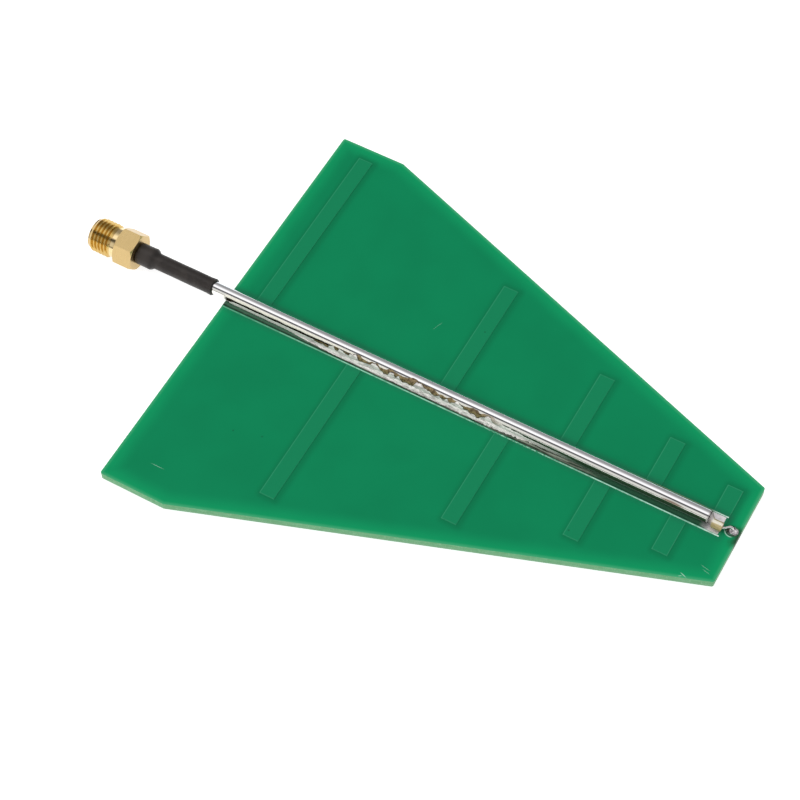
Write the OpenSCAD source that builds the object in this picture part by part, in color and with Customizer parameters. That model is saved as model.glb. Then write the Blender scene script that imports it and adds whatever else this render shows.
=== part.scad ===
/* [Radiating arms] */
// Number of arms on each face of the board
arm_count = 9; // [5:1:9]
// Width of an arm
arm_w = 2.7; // [2:0.1:3.4]
// Length of each arm as a share of the one before it
arm_ratio = 0.818; // [0.78:0.002:0.84]
// Spacing that the short arms close up to
gap_min = 4.2; // [3.8:0.1:6]
// Share of the spacing above that minimum that each next gap keeps
gap_ratio = 0.72; // [0.6:0.01:0.8]

/* [Board] */
// Length of the board along the boom
board_l = 98; // [80:0.2:130]
// Width of the board at its wide end
board_w = 81.4; // [70:0.2:100]
// Laminate thickness without copper and mask
board_t = 1.5; // [0.8:0.1:3.2]
// Wide edge of the board to the middle of the longest arm
edge_inset = 6.1; // [4:0.1:10]
// Parallel-sided run of the board at its wide end
straight_run = 12.4; // [9:0.2:18]
// Board beyond the tip of the longest arm
side_margin = 2.7; // [1:0.1:6]
// Half the narrow end's width beyond the reach of the shortest arm
tip_margin = 2.4; // [1:0.1:6]
// Board beyond the feed pad at the narrow end
end_margin = 0.3; // [0.2:0.1:4]
// Radius of the board's corners
corner_r = 0.4; // [0.3:0.1:2]

/* [Layers] */
// Thickness of the copper
copper_t = 0.07; // [0.03:0.01:0.2]
// Thickness of the solder mask
mask_t = 0.03; // [0.02:0.01:0.1]
// Thickness of the tin on the bare strip
tin_t = 0.02; // [0.01:0.01:0.05]
// Width of the boom's copper
boom_w = 4.2; // [3.8:0.1:8]
// Mask that laps over the edge of bare copper
mask_lap = 0.3; // [0.1:0.05:0.4]

/* [Feed pad] */
// Length of the oval feed pad along the boom
pad_l = 2; // [1.9:0.1:4]
// Width of the oval feed pad
pad_w = 1.7; // [1.5:0.1:3]
// Bare gap between the boom's end and the feed pad
pad_gap = 0.6; // [0.2:0.05:1]
// Diameter of the drilled feed hole
hole_d = 0.95; // [0.85:0.05:1.2]
// Wall of the plating in the feed hole
plating_t = 0.05; // [0.02:0.01:0.08]

/* [Coaxial cable] */
// Outside diameter of the metal tube
tube_d = 2.25; // [2.1:0.05:2.6]
// Diameter of the dielectric
dielectric_d = 1.68; // [1.4:0.02:1.8]
// Diameter of the centre wire
wire_d = 0.51; // [0.4:0.01:0.6]
// Jack's reference plane to the wide edge of the board
stub_l = 25.5; // [20:0.1:60]
// Dielectric left bare at the tip
bare_l = 2.4; // [1:0.1:5]
// End of the dielectric to the end of the boom
tip_step = 0; // [0:0.1:1]
// Bevel round the cut end of the tube
tube_bevel = 0.2; // [0.05:0.05:0.25]
// Radius of the wire's bend into the feed hole
bend_r = 1; // [0.8:0.05:1.1]

/* [Solder] */
// Solder film under the tube
film_t = 0.06; // [0.02:0.01:0.2]
// Hollow radius of the solder seams beside the tube
seam_r = 0.55; // [0.3:0.05:0.65]
// Bare strip left before the solder seam starts
seam_inset = 0.3; // [0:0.1:5]
// Height of the solder on the feed pad
blob_h = 0.75; // [0.4:0.05:1]
// Height of the solder under the board
back_h = 0.5; // [0.3:0.05:1]

/* [Heat-shrink sleeve] */
// Wall of the sleeve
sleeve_t = 0.33; // [0.2:0.01:0.6]
// End of the sleeve to the wide edge of the board
sleeve_gap = 2.6; // [0.5:0.1:8]

/* [Jack] */
// Outside diameter of the thread
thread_d = 6.25; // [6.19:0.01:6.33]
// Reference plane to the thread's rear end
thread_end = 2.6; // [2.2:0.1:6]
// Diameter of the pilot ahead of the thread
pilot_d = 5.4; // [5.28:0.02:5.48]
// Length of the pilot
pilot_l = 0.3; // [0.2:0.05:1]
// Diameter of the jack's mouth
mouth_d = 4.62; // [4.6:0.01:4.66]
// Depth of the mouth, front face to reference plane
mouth_l = 1.9; // [1.8:0.05:2.1]
// Diameter of the neck behind the thread
neck_d = 5.5; // [5:0.1:5.6]
// Length of the neck
neck_l = 1; // [0.4:0.1:2]
// Hexagon's width across flats
hex_af = 6.35; // [6.35:0.05:8]
// Length of the hexagon
hex_l = 3.8; // [3:0.1:8]
// Turn of the hexagon about the cable, from flats level with the board
hex_turn = 9.5; // [0:0.5:30]
// Diameter of the rear barrel that takes the cable
barrel_d = 3.2; // [3:0.1:4]
// Length of the rear barrel
barrel_l = 3.1; // [2:0.1:5]
// Diameter of the insulator
insulator_d = 4.1; // [3.9:0.05:4.2]
// Length of the insulator
insulator_l = 4.4; // [4.2:0.1:5]
// Diameter of the socket contact
contact_d = 1.27; // [1.2:0.01:1.4]
// Bore of the socket contact
socket_d = 0.94; // [0.92:0.01:0.96]
// Depth of the socket's bore
socket_l = 2.6; // [2.4:0.1:3]
// Width of the socket's slots
slot_w = 0.14; // [0.1:0.01:0.16]
// Length of the socket's slots
slot_l = 2.2; // [1.5:0.1:2.4]
// Length of wire held in the contact
wire_grip = 1.1; // [0.8:0.1:1.4]

/* [Hidden] */

$fn = 64;
// Overshoot of cuts past the faces that they open
cut = 0.5;
// Clearance between round pieces that nest
fit_gap = 0.01;
// Points on each rounded corner of the board
corner_steps = 6;
// How far a solder hollow bites past tangency, so that its edges keep some thickness
hollow_bite = 0.04;

// Heights, from the cable's axis at zero
tin_top = -tube_d / 2 - film_t;
copper_top = tin_top - tin_t;
core_top = copper_top - copper_t;
core_bottom = core_top - board_t;
back_top = core_bottom - copper_t - mask_t;

// Arms between the board's edges: the longest fills the width, the spacings fill the length
arm_reach = board_w / 2 - side_margin;
array_l = board_l - edge_inset - arm_w / 2 - pad_gap - pad_l - end_margin;
gap_sum = (1 - pow(gap_ratio, arm_count - 1)) / (1 - gap_ratio);
gap_first = gap_min + (array_l - (arm_count - 1) * gap_min) / gap_sum;

// Places along the boom, from the jack's reference plane at zero
function gap(k) = gap_min + (gap_first - gap_min) * pow(gap_ratio, k);
function arm_x(k) = k == 0 ? stub_l + edge_inset : arm_x(k - 1) + gap(k - 1);
function arm_l(k) = arm_reach * pow(arm_ratio, k);
boom_end = arm_x(arm_count - 1) + arm_w / 2;
pad_x = boom_end + pad_gap + pad_l / 2;
board_end = stub_l + board_l;
dielectric_end = boom_end - tip_step;
tube_end = dielectric_end - bare_l;
half_wide = board_w / 2;
half_narrow = arm_l(arm_count - 1) + tip_margin;
hex_start = thread_end + neck_l;
hex_end = hex_start + hex_l;
barrel_end = hex_end + barrel_l;
wire_start = insulator_l - wire_grip;
hex_corner_r = hex_af / 2 / cos(30);
barrel_step = (barrel_d - tube_d) / 2;

// Rounded outline
function unit(v) = v / norm(v);
function corner(p, before, after, r) =
    let (u = unit(before - p),
         v = unit(after - p),
         half = acos(u * v) / 2,
         centre = p + unit(u + v) * r / sin(half),
         start = p + u * r / tan(half) - centre,
         finish = p + v * r / tan(half) - centre,
         a = atan2(start.y, start.x),
         turn = (atan2(finish.y, finish.x) - a + 540) % 360 - 180)
    [for (i = [0 : corner_steps])
        centre + r * [cos(a + turn * i / corner_steps), sin(a + turn * i / corner_steps)]];
function rounded(points, r) =
    let (n = len(points))
    [for (i = [0 : n - 1])
        each corner(points[i], points[(i + n - 1) % n], points[(i + 1) % n], r)];

module board_outline() {
    polygon(rounded([[stub_l, -half_wide],
                     [stub_l + straight_run, -half_wide],
                     [board_end, -half_narrow],
                     [board_end, half_narrow],
                     [stub_l + straight_run, half_wide],
                     [stub_l, half_wide]], corner_r));
}

// One face's copper: the boom with arms on alternate sides, starting on the given side
module comb(first_side, end, grow = 0) {
    translate([stub_l, -boom_w / 2 - grow])
        square([end - stub_l + grow, boom_w + 2 * grow]);
    for (k = [0 : arm_count - 1])
        translate([arm_x(k) - arm_w / 2 - grow, min(0, first_side * pow(-1, k)) * (arm_l(k) + grow)])
            square([arm_w + 2 * grow, arm_l(k) + grow]);
}

// Bare stretch of the boom, inside the mask's lap
module window() {
    translate([stub_l, -boom_w / 2 + mask_lap])
        square([boom_end - mask_lap - stub_l, boom_w - 2 * mask_lap]);
}

// Oval around the feed hole
module pad(grow = 0) {
    translate([pad_x, 0]) {
        square([pad_l - pad_w, pad_w + 2 * grow], center = true);
        for (s = [-1, 1])
            translate([s * (pad_l - pad_w) / 2, 0])
                circle(d = pad_w + 2 * grow);
    }
}

// A layer of the given thickness on a height
module layer(z, t) {
    translate([0, 0, z])
        linear_extrude(t)
            children();
}

// Cylinder along the boom from one place to another
module rod(d, from, to) {
    translate([from, 0, 0])
        rotate([0, 90, 0])
            cylinder(d = d, h = to - from);
}

// Body turned about the cable's axis, from [radius, place along the boom] points
module turned(points) {
    rotate([0, 90, 0])
        rotate_extrude()
            polygon(points);
}

// Round cap of solder with its base at the origin and its crown along +Z
module solder_cap(base_d, h) {
    ball_r = (base_d * base_d / 4 + h * h) / (2 * h);
    intersection() {
        translate([0, 0, h - ball_r])
            sphere(r = ball_r);
        translate([-base_d, -base_d, 0])
            cube([2 * base_d, 2 * base_d, h + cut]);
    }
}

// Centre wire, straight from the contact and bent down through the board
module wire(d) {
    rod(d, wire_start, pad_x - bend_r);
    translate([pad_x - bend_r, 0, -bend_r])
        rotate([90, 0, 0])
            rotate_extrude(angle = 90)
                translate([bend_r, 0])
                    circle(d = d);
    translate([pad_x, 0, back_top - back_h / 2])
        cylinder(d = d, h = -bend_r - back_top + back_h / 2);
}

module board_core() {
    color("darkseagreen")
        layer(core_bottom, board_t)
            difference() {
                board_outline();
                translate([pad_x, 0])
                    circle(d = hole_d);
            }
}

module top_copper() {
    color("peru")
        layer(core_top, copper_t)
            comb(1, boom_end);
}

module bottom_copper() {
    color("peru")
        layer(core_bottom - copper_t, copper_t)
            difference() {
                comb(-1, pad_x + pad_l / 2);
                translate([pad_x, 0])
                    circle(d = hole_d);
            }
}

module top_mask() {
    color("seagreen")
        difference() {
            union() {
                layer(core_top, mask_t)
                    board_outline();
                layer(core_top, copper_t + mask_t)
                    comb(1, boom_end, mask_t);
            }
            layer(core_top - cut, copper_t + cut)
                comb(1, boom_end);
            layer(core_top - cut, copper_t + mask_t + 2 * cut) {
                window();
                pad();
            }
        }
}

module bottom_mask() {
    color("seagreen")
        difference() {
            union() {
                layer(core_bottom - mask_t, mask_t)
                    board_outline();
                layer(back_top, copper_t + mask_t)
                    comb(-1, pad_x + pad_l / 2, mask_t);
            }
            layer(core_bottom - copper_t, copper_t + cut)
                comb(-1, pad_x + pad_l / 2);
            layer(back_top - cut, copper_t + mask_t + 2 * cut)
                pad(-mask_t);
        }
}

module boom_tin() {
    color("gainsboro")
        layer(copper_top, tin_t)
            window();
}

module feed_via() {
    color("goldenrod")
        difference() {
            union() {
                layer(core_top, copper_t)
                    pad();
                translate([pad_x, 0, core_bottom - copper_t])
                    cylinder(d = hole_d, h = board_t + 2 * copper_t);
            }
            translate([pad_x, 0, core_bottom - copper_t - cut])
                cylinder(d = hole_d - 2 * plating_t, h = board_t + 2 * copper_t + 2 * cut);
        }
}

module feed_solder() {
    bore_d = hole_d - 2 * plating_t;
    color("lightgray")
        difference() {
            translate([pad_x, 0, 0]) {
                translate([0, 0, copper_top])
                    solder_cap(pad_w, blob_h);
                translate([0, 0, core_bottom - copper_t])
                    cylinder(d = bore_d, h = board_t + 2 * copper_t);
                translate([0, 0, core_bottom - copper_t])
                    rotate([180, 0, 0])
                        solder_cap(pad_w - 2 * mask_t, back_h + mask_t);
            }
            wire(wire_d);
        }
}

module seam_solder() {
    tube_r = tube_d / 2;
    hollow_z = tin_top + seam_r - hollow_bite;
    reach_r = tube_r + seam_r - hollow_bite;
    hollow_y = sqrt(reach_r * reach_r - hollow_z * hollow_z);
    start = stub_l + seam_inset;
    color("silver")
        translate([start, 0, 0])
            rotate([90, 0, 90])
                linear_extrude(tube_end - tube_bevel - start)
                    difference() {
                        translate([-hollow_y, tin_top])
                            square([2 * hollow_y, hollow_z - tin_top]);
                        circle(d = tube_d + 2 * fit_gap);
                        for (s = [-1, 1])
                            translate([s * hollow_y, hollow_z])
                                circle(r = seam_r);
                    }
}

module coax_tube() {
    r = tube_d / 2;
    bore_r = dielectric_d / 2 + fit_gap;
    color("whitesmoke")
        turned([[bore_r, insulator_l],
                [r, insulator_l],
                [r, tube_end - tube_bevel],
                [r - tube_bevel, tube_end],
                [bore_r, tube_end]]);
}

module coax_dielectric() {
    color("tan")
        difference() {
            rod(dielectric_d, insulator_l, dielectric_end);
            rod(wire_d + 2 * fit_gap, insulator_l - cut, dielectric_end + cut);
        }
}

module coax_wire() {
    color("silver")
        wire(wire_d);
}

module shrink_sleeve() {
    barrel_r = barrel_d / 2 + fit_gap;
    tube_r = tube_d / 2 + fit_gap;
    end = stub_l - sleeve_gap;
    color([0.16, 0.14, 0.13])
        turned([[barrel_r, hex_end],
                [barrel_r + sleeve_t, hex_end],
                [barrel_r + sleeve_t, barrel_end],
                [tube_r + sleeve_t, barrel_end + barrel_step],
                [tube_r + sleeve_t, end],
                [tube_r, end],
                [tube_r, barrel_end + barrel_step],
                [barrel_r, barrel_end]]);
}

module jack_body() {
    thread_r = thread_d / 2;
    pilot_r = pilot_d / 2;
    neck_r = neck_d / 2;
    lead = thread_r - pilot_r;
    hex_middle = hex_start + hex_l / 2;
    chamfer_r = hex_af / 2;
    chamfer_l = (hex_corner_r - chamfer_r) * tan(30);
    color("gold")
        difference() {
            union() {
                turned([[0, -mouth_l],
                        [pilot_r, -mouth_l],
                        [pilot_r, pilot_l - mouth_l],
                        [thread_r, pilot_l - mouth_l + lead],
                        [thread_r, thread_end - (thread_r - neck_r)],
                        [neck_r, thread_end],
                        [neck_r, hex_middle],
                        [barrel_d / 2, hex_middle],
                        [barrel_d / 2, barrel_end],
                        [0, barrel_end]]);
                intersection() {
                    translate([hex_start, 0, 0])
                        rotate([0, 90, 0])
                            rotate(30 + hex_turn)
                                cylinder(r = hex_corner_r, h = hex_l, $fn = 6);
                    turned([[0, hex_start],
                            [chamfer_r, hex_start],
                            [hex_corner_r, hex_start + chamfer_l],
                            [hex_corner_r, hex_end - chamfer_l],
                            [chamfer_r, hex_end],
                            [0, hex_end]]);
                }
            }
            rod(mouth_d, -mouth_l - cut, 0);
            rod(insulator_d + 2 * fit_gap, -cut, insulator_l);
            rod(tube_d + 2 * fit_gap, insulator_l - cut, barrel_end + cut);
        }
}

module jack_insulator() {
    color("ivory")
        difference() {
            rod(insulator_d, 0, insulator_l);
            rod(contact_d + 2 * fit_gap, -cut, insulator_l + cut);
        }
}

module jack_contact() {
    color("gold")
        difference() {
            rod(contact_d, 0, insulator_l);
            rod(socket_d, -cut, socket_l);
            rod(wire_d + 2 * fit_gap, wire_start, insulator_l + cut);
            for (a = [0, 90])
                rotate([a, 0, 0])
                    translate([-cut, -slot_w / 2, -contact_d])
                        cube([slot_l + cut, slot_w, 2 * contact_d]);
        }
}

module jack_solder() {
    tube_r = tube_d / 2 + fit_gap;
    color("silver")
        turned([[tube_r, barrel_end],
                [barrel_d / 2, barrel_end],
                [tube_r, barrel_end + barrel_step - fit_gap]]);
}

board_core();
top_copper();
bottom_copper();
top_mask();
bottom_mask();
boom_tin();
feed_via();
feed_solder();
seam_solder();
coax_tube();
coax_dielectric();
coax_wire();
shrink_sleeve();
jack_body();
jack_insulator();
jack_contact();
jack_solder();
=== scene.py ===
import math
from functools import partial

import bmesh
import bpy
from mathutils import Matrix, Vector, noise


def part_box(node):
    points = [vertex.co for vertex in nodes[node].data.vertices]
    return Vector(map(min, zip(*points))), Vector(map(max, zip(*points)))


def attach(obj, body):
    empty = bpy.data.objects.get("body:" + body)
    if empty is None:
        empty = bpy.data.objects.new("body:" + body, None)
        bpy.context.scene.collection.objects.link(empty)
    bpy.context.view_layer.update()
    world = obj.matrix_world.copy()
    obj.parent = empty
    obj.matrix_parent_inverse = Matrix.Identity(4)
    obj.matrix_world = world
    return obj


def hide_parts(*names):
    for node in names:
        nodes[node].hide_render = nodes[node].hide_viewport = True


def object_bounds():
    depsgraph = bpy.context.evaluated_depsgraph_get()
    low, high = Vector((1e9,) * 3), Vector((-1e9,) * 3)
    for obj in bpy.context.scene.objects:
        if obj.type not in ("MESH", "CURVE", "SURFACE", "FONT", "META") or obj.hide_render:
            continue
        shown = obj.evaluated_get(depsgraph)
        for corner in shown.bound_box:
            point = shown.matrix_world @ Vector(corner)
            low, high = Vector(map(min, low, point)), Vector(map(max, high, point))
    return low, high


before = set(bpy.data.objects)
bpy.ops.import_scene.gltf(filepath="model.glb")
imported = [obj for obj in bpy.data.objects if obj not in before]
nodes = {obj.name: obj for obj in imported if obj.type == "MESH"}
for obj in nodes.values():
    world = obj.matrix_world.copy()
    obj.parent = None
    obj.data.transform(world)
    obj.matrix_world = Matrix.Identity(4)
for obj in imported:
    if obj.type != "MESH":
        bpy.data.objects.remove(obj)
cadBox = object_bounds()
mm = 0.001  # dictionaries hold millimetres and degrees, Blender gets metres
perMetre = 1000
weld = 1e-7  # metres between points that become one
weldCut = 2e-7  # the same after a screw or a boolean
cutTolerance = 1e-8


class settings(dict):  # a dictionary whose values are also read as names after a dot
    __getattr__ = dict.__getitem__


print("frame loaded:", len(nodes), "nodes")


# places taken from the frame, in millimetres

def cadLow(node):
    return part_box(node)[0] * perMetre


def cadHigh(node):
    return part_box(node)[1] * perMetre


tubeStart = cadLow("coax_tube").x
tubeEnd = cadHigh("coax_tube").x
tubeRadius = cadHigh("coax_tube").z
dielectricEnd = cadHigh("coax_dielectric").x
stripTop = cadHigh("boom_tin").z
stripHalf = cadHigh("boom_tin").y
boardStart = cadLow("board_core").x
boardEnd = cadHigh("board_core").x
copperTop = cadHigh("top_copper").z
copperBottom = cadLow("bottom_copper").z
viaMiddle = (cadLow("feed_via").x + cadHigh("feed_via").x) / 2
maskLap = 0.3  # the mask covers this much of the boom beside the strip
boomHalf = stripHalf + maskLap
wireRadius = 0.255


def armBoxes(node):  # each arm's low x, high x and tip y, from the corners that lie past the boom
    slack = 1.01
    pastBoom = boomHalf * mm * slack
    tips = {}
    for vert in nodes[node].data.vertices:
        if abs(vert.co.y) > pastBoom:
            tips.setdefault(round(vert.co.y * perMetre, 3), []).append(vert.co.x * perMetre)
    return [(min(xs), max(xs), y) for y, xs in sorted(tips.items())]


def slantLine():  # normal and reach of the board's largest slanted side
    leastSlant = 0.1
    core = nodes["board_core"].data
    slanted = [face for face in core.polygons if min(face.normal.x, face.normal.y) > leastSlant]
    widest = max(slanted, key=lambda face: face.area)
    point = core.vertices[widest.vertices[0]].co
    return widest.normal.copy(), widest.normal.dot(point) * perMetre


# modelling helpers

alongX = (0, math.pi / 2, 0)  # turns a primitive's axis along the cable


def activate(piece):
    bpy.ops.object.select_all(action="DESELECT")
    piece.select_set(True)
    bpy.context.view_layer.objects.active = piece


def editAll(piece):
    activate(piece)
    bpy.ops.object.mode_set(mode="EDIT")
    bpy.ops.mesh.select_mode(type="VERT")
    bpy.ops.mesh.select_all(action="SELECT")


def leaveEdit():
    bpy.ops.object.mode_set(mode="OBJECT")


def applyPlace(piece):
    activate(piece)
    bpy.ops.object.transform_apply(location=True, rotation=True, scale=True)


def takePiece(name):  # names the primitive that was just added
    piece = bpy.context.object
    piece.name = name
    piece.data.name = name
    applyPlace(piece)
    return piece


def extrude(x, y, z):  # draws the selection out, in millimetres
    bpy.ops.mesh.extrude_region_move(TRANSFORM_OT_translate={"value": (x * mm, y * mm, z * mm)})


def editWhole(piece, operator, **options):
    editAll(piece)
    operator(**options)
    leaveEdit()


def weldPoints(piece, gap):
    editWhole(piece, bpy.ops.mesh.remove_doubles, threshold=gap)


def faceOutward(piece):
    editWhole(piece, bpy.ops.mesh.normals_make_consistent, inside=False)


def applyModifier(piece, kind, **options):
    activate(piece)
    modifier = piece.modifiers.new(kind.title(), kind)
    for key, value in options.items():
        setattr(modifier, key, value)
    bpy.ops.object.modifier_apply(modifier=modifier.name)


def combine(piece, tool, operation):
    applyModifier(piece, "BOOLEAN", operation=operation, solver="EXACT", object=tool)
    bpy.data.objects.remove(tool)


def ease(low, high, value):
    share = min(1.0, max(0.0, (value - low) / (high - low)))
    return share * share * (3 - 2 * share)


def hill(value, middle, width):  # 1 at the middle, falling away on both sides
    return math.exp(-((value - middle) / width) ** 2)


def turnPiece(name, stations, sides, solid=False):  # stations are (place along the cable, radius)
    place, radius = stations[0]
    at = (place * mm, 0, 0)
    bpy.ops.mesh.primitive_circle_add(vertices=sides, radius=radius * mm, location=at, rotation=alongX)
    piece = takePiece(name)
    editAll(piece)
    for (placeA, radiusA), (placeB, radiusB) in zip(stations, stations[1:]):
        extrude(placeB - placeA, 0, 0)
        grow = radiusB / radiusA
        bpy.ops.transform.resize(value=(1, grow, grow), center_override=(placeB * mm, 0, 0))
    bpy.ops.mesh.select_all(action="SELECT")
    if solid:
        bpy.ops.mesh.fill_holes(sides=0)
    else:
        bpy.ops.mesh.remove_doubles(threshold=weld)
    leaveEdit()
    faceOutward(piece)
    return piece


def moveVerts(piece, rule):  # rule takes and gives a point in millimetres
    for vert in piece.data.vertices:
        vert.co = Vector(rule(vert.co * perMetre)) * mm
    piece.data.update()


def handOver(piece, node, degrees):  # smooths every edge below this angle first
    activate(piece)
    bpy.ops.object.shade_smooth_by_angle(angle=math.radians(degrees))
    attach(piece, "root")
    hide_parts(node)
    return piece


# camera

photoView = settings(
    place=(164.82, -181.86, 319.63), aim=(62.224, -4.031, -1.245), roll=0.918,
    lens=101.05, sensor=36, near=10, far=20000,
)


def makeCamera(view):
    bpy.ops.object.camera_add()
    camera = bpy.context.object
    camera.name = "photoCamera"
    place = Vector(view.place) * mm
    turn = (Vector(view.aim) * mm - place).to_track_quat("-Z", "Y").to_matrix()
    roll = Matrix.Rotation(-math.radians(view.roll), 3, "Z")
    camera.matrix_world = Matrix.Translation(place) @ (turn @ roll).to_4x4()
    camera.data.lens = view.lens
    camera.data.sensor_width = view.sensor
    camera.data.clip_start = view.near * mm
    camera.data.clip_end = view.far * mm
    bpy.context.scene.camera = camera


makeCamera(photoView)
print("camera set")


# jack body: turned core, rolled thread, chamfered hexagon, drilled through

jack = settings(
    sides=128, edge=0.1, gap=0.01, smoothAngle=28,
    front=-1.9, pilotEnd=-1.6, pilotRadius=2.7,
    lead=0.5, leadRadius=2.98, leadRound=0.12, leadDrop=0.03,
    threadEnd=2.6, crestRadius=3.125, rootRadius=2.72, underThread=0.12, pitch=0.7056,
    crestFlat=0.1, rootFlat=0.15, rollShare=0.35, rollRise=(0.8, 0.2), threadSides=96,
    spareTurns=2, trims=(0.31, 0.37), runIn=(0.08, 0.04), relief=0.55,
    neckRadius=2.75, hexStart=3.6, hexEnd=7.4, hexFlat=3.175, hexTurn=9.5,
    hexBevel=0.07, bevelSteps=3, bevelAngle=24, barrelRadius=1.6, barrelEnd=10.5,
    mouthRadius=2.31, mouthEnd=0.0, mouthBevel=0.12, seatRadius=2.06, seatEnd=4.4,
    cableRadius=1.135, boreStep=0.001, borePast=0.2,
)


def threadProfile(j):  # steps along and up over one pitch, with slightly rolled crest corners
    flank = (j.pitch - j.crestFlat - j.rootFlat) / 2
    depth = j.crestRadius - j.rootRadius
    roll = j.crestFlat * j.rollShare
    side, top = [2 * roll * share for share in j.rollRise]
    return [(j.rootFlat, 0), (flank - roll, depth - 2 * roll), (roll, side),
            (j.crestFlat, top), (roll, -top - side), (flank - roll, -depth + 2 * roll)]


def makeThread(j):
    start = j.pilotEnd - j.spareTurns * j.pitch
    bpy.ops.mesh.primitive_plane_add(size=mm, location=(start * mm, 0, j.rootRadius * mm))
    thread = takePiece("jackThread")
    editAll(thread)
    bpy.ops.mesh.merge(type="CENTER")
    for along, up in threadProfile(j):
        extrude(along, 0, up)
    leaveEdit()
    turns = math.ceil((j.threadEnd - start) / j.pitch) + j.spareTurns
    applyModifier(thread, "SCREW", axis="X", angle=2 * math.pi, screw_offset=j.pitch * mm,
                  iterations=turns, steps=j.threadSides, render_steps=j.threadSides,
                  use_merge_vertices=True, merge_threshold=weld)
    weldPoints(thread, weldCut)  # joins each turn to the next
    for place, away, trim in zip((j.pilotEnd, j.threadEnd), (-1, 1), j.trims):
        editWhole(thread, bpy.ops.mesh.bisect, plane_co=((place + away * trim) * mm, 0, 0),
                  plane_no=(away, 0, 0), use_fill=True, clear_outer=True, threshold=cutTolerance)
    faceOutward(thread)
    front = j.pilotEnd + j.lead - j.runIn[0]
    wide = j.crestRadius + j.gap
    envelope = turnPiece("threadEnvelope", [
        (front, j.leadRadius + j.runIn[1]), (front + j.edge, wide),
        (j.threadEnd - j.relief, wide), (j.threadEnd, j.neckRadius - j.edge)],
        j.sides, solid=True)
    combine(thread, envelope, "INTERSECT")
    return thread


def makeHexagon(j):
    corner = j.hexFlat / math.cos(math.pi / 6)
    bpy.ops.mesh.primitive_cylinder_add(vertices=6, radius=corner * mm, depth=(j.hexEnd - j.hexStart) * mm,
                                        rotation=alongX)
    hexagon = takePiece("jackHexagon")
    hexagon.rotation_euler.x = math.radians(j.hexTurn)
    hexagon.location.x = (j.hexStart + j.hexEnd) / 2 * mm
    applyPlace(hexagon)
    slope = (corner - j.hexFlat) * math.tan(math.pi / 6)
    wide = corner + j.gap
    cones = turnPiece("hexChamfer", [
        (j.hexStart - j.gap, j.hexFlat), (j.hexStart + slope, wide),
        (j.hexEnd - slope, wide), (j.hexEnd + j.gap, j.hexFlat)], j.sides, solid=True)
    combine(hexagon, cones, "INTERSECT")
    applyModifier(hexagon, "BEVEL", width=j.hexBevel * mm, segments=j.bevelSteps,
                  limit_method="ANGLE", angle_limit=math.radians(j.bevelAngle))
    return hexagon


def makeBore(j):
    past = j.borePast
    step = j.boreStep
    return turnPiece("jackBore", [
        (j.front - past, j.mouthRadius + past + j.mouthBevel),
        (j.front + j.mouthBevel, j.mouthRadius), (j.mouthEnd, j.mouthRadius),
        (j.mouthEnd + step, j.seatRadius), (j.seatEnd, j.seatRadius),
        (j.seatEnd + step, j.cableRadius), (j.barrelEnd + past, j.cableRadius)],
        j.sides, solid=True)


def makeJack(j):
    edge = j.edge
    hexMiddle = (j.hexStart + j.hexEnd) / 2
    under = j.rootRadius - j.underThread
    leadEnd = j.pilotEnd + j.lead
    body = turnPiece("jackBody", [
        (j.front, j.pilotRadius - edge), (j.front + edge, j.pilotRadius),
        (j.pilotEnd, j.pilotRadius), (leadEnd - j.leadRound, j.leadRadius),
        (leadEnd, j.leadRadius - j.leadDrop), (leadEnd + j.leadRound, under),
        (j.threadEnd - edge, under), (j.threadEnd, j.neckRadius),
        (hexMiddle, j.neckRadius), (hexMiddle + edge, j.barrelRadius),
        (j.barrelEnd - edge, j.barrelRadius), (j.barrelEnd, j.barrelRadius - edge)],
        j.sides, solid=True)
    combine(body, makeThread(j), "UNION")
    combine(body, makeHexagon(j), "UNION")
    combine(body, makeBore(j), "DIFFERENCE")
    weldPoints(body, weldCut)
    handOver(body, "jack_body", j.smoothAngle)
    applyModifier(body, "WEIGHTED_NORMAL", keep_sharp=True)
    return body


jackBody = makeJack(jack)
print("jack:", len(jackBody.data.polygons), "faces")


# coaxial cable: bright tube with a cut end, whittled dielectric, bent wire

cable = settings(
    sides=128, bore=0.85, endLong=0.6, endDeep=0.2, endLip=0.03, endTurn=82, endSteps=8,
    tubeSmooth=35, coreSmooth=40,
    coreRadius=0.84, coreSides=64, coreRings=30, ringsBack=0.3, ringsSpare=0.25, fit=0.01,
    edgeLong=0.04, edgeDeep=0.06, skinFrom=0.05, whittle=0.03, whittleShare=0.6,
    knifeAlong=0.8, knifeAcross=1.6, cutSlope=0.12, cutLength=0.6,
    wireSides=32, bendRadius=1.0, bendSteps=14, wireSteps=24, wireBack=0.2, wireFoot=-3.0,
    sagSide=-0.7, sagDown=-0.3, sagLength=0.75, sagBefore=0.05, sagPast=0.1, sagStop=0.25,
)


def sag(c, point):  # the soft core leans towards the strip once it leaves the tube
    lean = ease(tubeEnd - c.sagBefore, tubeEnd + c.sagLength, point.x)
    lean *= 1 - ease(dielectricEnd + c.sagPast, viaMiddle - c.sagStop, point.x)
    return Vector((point.x, point.y + c.sagSide * lean, point.z + c.sagDown * lean))


def makeTube(c):
    stations = [(tubeStart, c.bore), (tubeStart, tubeRadius), (boardStart, tubeRadius)]
    for i in range(c.endSteps + 1):  # the cut end is rounded over
        angle = math.radians(90 - c.endTurn * i / c.endSteps)
        stations.append((tubeEnd - c.endLong * (1 - math.cos(angle)),
                         tubeRadius - c.endDeep * (1 - math.sin(angle))))
    lip = tubeRadius - c.endDeep - c.endLip
    stations += [(tubeEnd, lip), (tubeEnd - c.endLip, c.bore), (tubeStart, c.bore)]
    tube = turnPiece("coaxTube", stations, c.sides)
    return handOver(tube, "coax_tube", c.tubeSmooth)


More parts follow.
